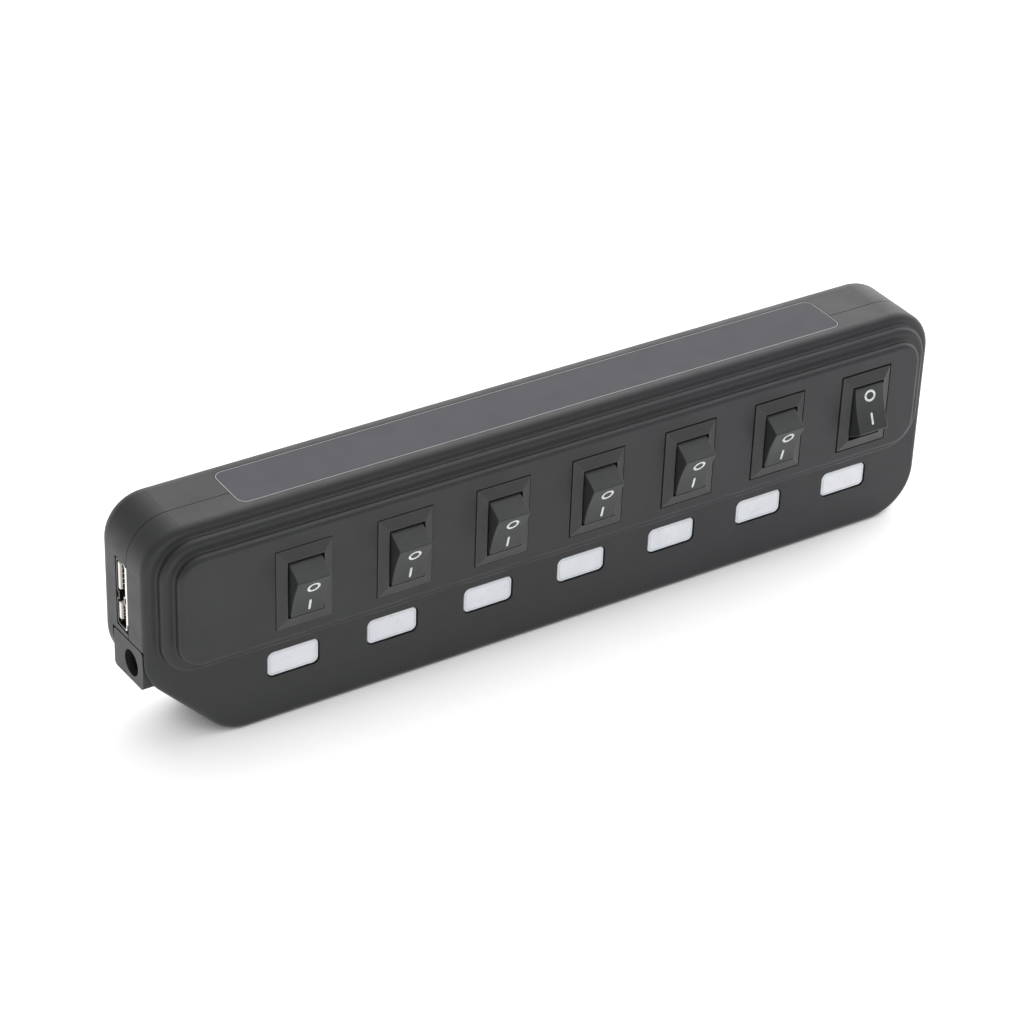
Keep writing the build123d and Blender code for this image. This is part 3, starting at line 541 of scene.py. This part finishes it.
def flat_frame(middle, across, up, outwards, size, corner, line, steps=6):
    """A fine raised line round a rounded rectangle, half sunk in the face it lies on.

    The middle lies on the face, outwards is the line's height out of it, and size is
    the rectangle's width and height.
    """
    width, height = size
    outer = rounded_outline(width, height, corner, steps)
    inner = rounded_outline(width - 2 * line, height - 2 * line, corner - line, steps)
    rings = []
    for (ox, oy), (ix, iy) in zip(outer, inner):
        outside = middle + across * ox + up * oy
        inside = middle + across * ix + up * iy
        rings.append([outside - outwards, outside + outwards, inside + outwards, inside - outwards])
    return ring_of_points(rings)


# A fine pale line round the label plate: a painted highlight along the film's cut edge.
EDGE_WIDTH, EDGE_HEIGHT, LABEL_CORNER = 0.14 * MM, 0.02 * MM, 1.8 * MM


def label_edge():
    low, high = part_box("label_plate")
    middle = Vector(((low.x + high.x) / 2, (low.y + high.y) / 2, high.z))
    size = (high.x - low.x, high.y - low.y)
    line = flat_frame(middle, RIGHT, BACK, UP * EDGE_HEIGHT, size, LABEL_CORNER, EDGE_WIDTH, steps=10)
    piece("label_edge_line", line, painted_edge_highlight, CASE)


label_edge()


# A contact pad's width at each share of its height: upright sides, then a slope.
PAD_PROFILE = ((1.0, 0.0), (1.0, 0.6), (0.8, 1.0))


def pads_piece(name, pads, finish):
    """Several raised pads in one piece, each a flat block with sloping sides.

    A pad is its foot's middle, its half sizes across and along, and its height outwards.
    """
    made = bmesh.new()
    corners = ((1, 1), (-1, 1), (-1, -1), (1, -1))
    for middle, across, along, outwards in pads:
        rims = []
        for share, lift in PAD_PROFILE:
            inset = across.length * (1 - share)
            u, v = across * share, along * (1 - inset / along.length)
            rims.append([made.verts.new(middle + u * i + v * j + outwards * lift) for i, j in corners])
        made.faces.new(rims[0])
        made.faces.new(rims[-1])
        for lower, upper in zip(rims, rims[1:]):
            for i in range(len(corners)):
                j = (i + 1) % len(corners)
                made.faces.new((lower[i], lower[j], upper[j], upper[i]))
    piece(name, made, finish, CASE)


# Contacts of a USB-A port, on the tongue's face towards the plug: five short ones near
# the mouth and four long ones behind them.
SHORT_PLACES_MM, SHORT_START, SHORT_LENGTH, SHORT_WIDTH = (-4, -2, 0, 2, 4), 1.1 * MM, 1.4 * MM, 0.7 * MM
LONG_PLACES_MM, LONG_START, LONG_LENGTH, LONG_WIDTH = (-3.5, -1, 1, 3.5), 3.2 * MM, 4.6 * MM, 1.0 * MM
CONTACT_HEIGHT = 0.12 * MM
SHELL_SHEET, TONGUE_BACK_GAP, TONGUE_THICKNESS = 0.3 * MM, 0.72 * MM, 1.84 * MM


def port_contacts(number):
    shell_low, shell_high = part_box(f"usb_port_shell_{number}")
    mouth_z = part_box(f"usb_port_tongue_{number}")[0].z
    middle_x = (shell_low.x + shell_high.x) / 2
    face_y = shell_low.y + SHELL_SHEET + TONGUE_BACK_GAP + TONGUE_THICKNESS
    pads = []
    for places_mm, start, length, width in (
        (SHORT_PLACES_MM, SHORT_START, SHORT_LENGTH, SHORT_WIDTH),
        (LONG_PLACES_MM, LONG_START, LONG_LENGTH, LONG_WIDTH),
    ):
        for place_mm in places_mm:
            middle = Vector((middle_x + place_mm * MM, face_y, mouth_z + start + length / 2))
            pads.append((middle, RIGHT * (width / 2), UP * (length / 2), BACK * CONTACT_HEIGHT))
    pads_piece(f"usb_contacts_{number}", pads, gold)


for number in numbers:
    port_contacts(number)


# Contacts of the micro-B socket: five on each of its two tongues, which reach from one
# height to the other.
MICRO_TONGUES_MM = ((22.9, 26.0), (28.7, 33.7))
MICRO_TONGUE_THICKNESS, MICRO_CONTACT_START, MICRO_CONTACT_LENGTH = 0.7 * MM, 0.35 * MM, 2.9 * MM
MICRO_CONTACT_COUNT, MICRO_CONTACT_SHARE, MICRO_CONTACT_HEIGHT = 5, 0.8, 0.06 * MM


def micro_contacts():
    low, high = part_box("micro_b_tongue")
    face_y = high.y - MICRO_TONGUE_THICKNESS
    middle_x = low.x + MICRO_CONTACT_START + MICRO_CONTACT_LENGTH / 2
    along, outwards = RIGHT * (MICRO_CONTACT_LENGTH / 2), BACK * -MICRO_CONTACT_HEIGHT
    pads = []
    for foot, top in MICRO_TONGUES_MM:
        spacing = (top - foot) * MM / MICRO_CONTACT_COUNT
        across = UP * (spacing * MICRO_CONTACT_SHARE / 2)
        for k in range(MICRO_CONTACT_COUNT):
            middle = Vector((middle_x, face_y, foot * MM + spacing * (k + 0.5)))
            pads.append((middle, across, along, outwards))
    pads_piece("micro_b_contacts", pads, shaded_contact_gold)


micro_contacts()


# A fine moulded line a little inside each window's rim.
RIM_INSET, RIM_WIDTH, RIM_HEIGHT, RIM_CORNER = 0.42 * MM, 0.1 * MM, 0.012 * MM, 0.8 * MM
WINDOW_WIDTH, WINDOW_HEIGHT = 9.7 * MM, 4.8 * MM


def window_rim(number):
    low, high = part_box("window_strip")
    middle = Vector((joints[f"rocker_{number}_tilt"]["pos_m"][0], low.y, (low.z + high.z) / 2))
    size = (WINDOW_WIDTH - 2 * RIM_INSET, WINDOW_HEIGHT - 2 * RIM_INSET)
    line = flat_frame(middle, RIGHT, UP, BACK * -RIM_HEIGHT, size, RIM_CORNER, RIM_WIDTH)
    piece(f"window_rim_{number}", line, rim_plastic, CASE)


for number in numbers:
    window_rim(number)


# ---- floor and light ------------------------------------------------------------------

FLOOR_GAP, FLOOR_HALF_SIZE = 0.05 * MM, 6.0
SHADE_REACH = 30 * MM
# The floor's painted glow in the hub's contact shadow and in the open, and the openness where each holds: less
# glow paints the contact shadow.
PAINTED_GLOW_SHADED, PAINTED_GLOW_OPEN = 0.0, 0.38
OPENNESS_SHADED, OPENNESS_OPEN = 0.2, 0.44


def studio_floor():
    """A wide pale floor just under the object, with a painted glow that is weaker near the object and so paints
    its contact shadow.
    """
    mesh = bpy.data.meshes.new("floor")
    made = bmesh.new()
    bmesh.ops.create_grid(made, x_segments=1, y_segments=1, size=FLOOR_HALF_SIZE)
    made.to_mesh(mesh)
    made.free()
    floor = bpy.data.objects.new("floor", mesh)
    floor.location.z = cad_low.z - FLOOR_GAP
    bpy.context.scene.collection.objects.link(floor)
    g = Graph("pale_floor")
    tone = g.blend(g.uneven(90.0, 0.0, 1.0, detail=3.0), (0.905, 0.905, 0.905), (0.915, 0.915, 0.915))
    shade = g.add("ShaderNodeAmbientOcclusion", samples=8)
    shade.inputs["Distance"].default_value = SHADE_REACH
    # Painted light: the floor glows, and glows less where the hub shades it, which paints the contact shadow.
    painted_glow = g.span(shade.outputs["AO"], PAINTED_GLOW_SHADED, PAINTED_GLOW_OPEN, OPENNESS_SHADED, OPENNESS_OPEN)
    floor.data.materials.append(g.set(
        Base_Color=tone,
        Roughness=0.8,
        Specular_IOR_Level=0.1,
        Emission_Color=(1.0, 1.0, 1.0),
        Emission_Strength=painted_glow,
    ))


def softbox(name, place, size_x, size_y, power):
    """A rectangular area light that faces the object."""
    data = bpy.data.lights.new(name, "AREA")
    data.shape = "RECTANGLE"
    data.size, data.size_y = size_x, size_y
    data.energy = power
    lamp = bpy.data.objects.new(name, data)
    lamp.location = place
    lamp.rotation_euler = (centre - lamp.location).to_track_quat("-Z", "Y").to_euler()
    bpy.context.scene.collection.objects.link(lamp)


def pale_world(strength, bright_side, side_strength):
    """A white surround that brightens to the side strength towards one direction."""
    world = bpy.data.worlds.new("studio")
    bpy.context.scene.world = world
    world.use_nodes = True
    tree = world.node_tree
    place = tree.nodes.new("ShaderNodeTexCoord")
    facing = tree.nodes.new("ShaderNodeVectorMath")
    facing.operation = "DOT_PRODUCT"
    facing.inputs[1].default_value = Vector(bright_side).normalized()
    tree.links.new(place.outputs["Generated"], facing.inputs[0])
    ramp = tree.nodes.new("ShaderNodeMapRange")
    ramp.interpolation_type = "SMOOTHSTEP"
    ramp.inputs["From Min"].default_value = 0.5
    ramp.inputs["To Min"].default_value = strength
    ramp.inputs["To Max"].default_value = side_strength
    tree.links.new(facing.outputs["Value"], ramp.inputs["Value"])
    background = tree.nodes["Background"]
    background.inputs["Color"].default_value = (1.0, 1.0, 1.0, 1.0)
    tree.links.new(ramp.outputs["Result"], background.inputs["Strength"])


studio_floor()
pale_world(strength=0.56, bright_side=(0.80, 0.42, 0.46), side_strength=2.5)
softbox("top_softbox", place=(0.1, 0.1, 1.3), size_x=1.6, size_y=1.2, power=5.0)
bpy.context.scene.view_settings.view_transform = "Standard"
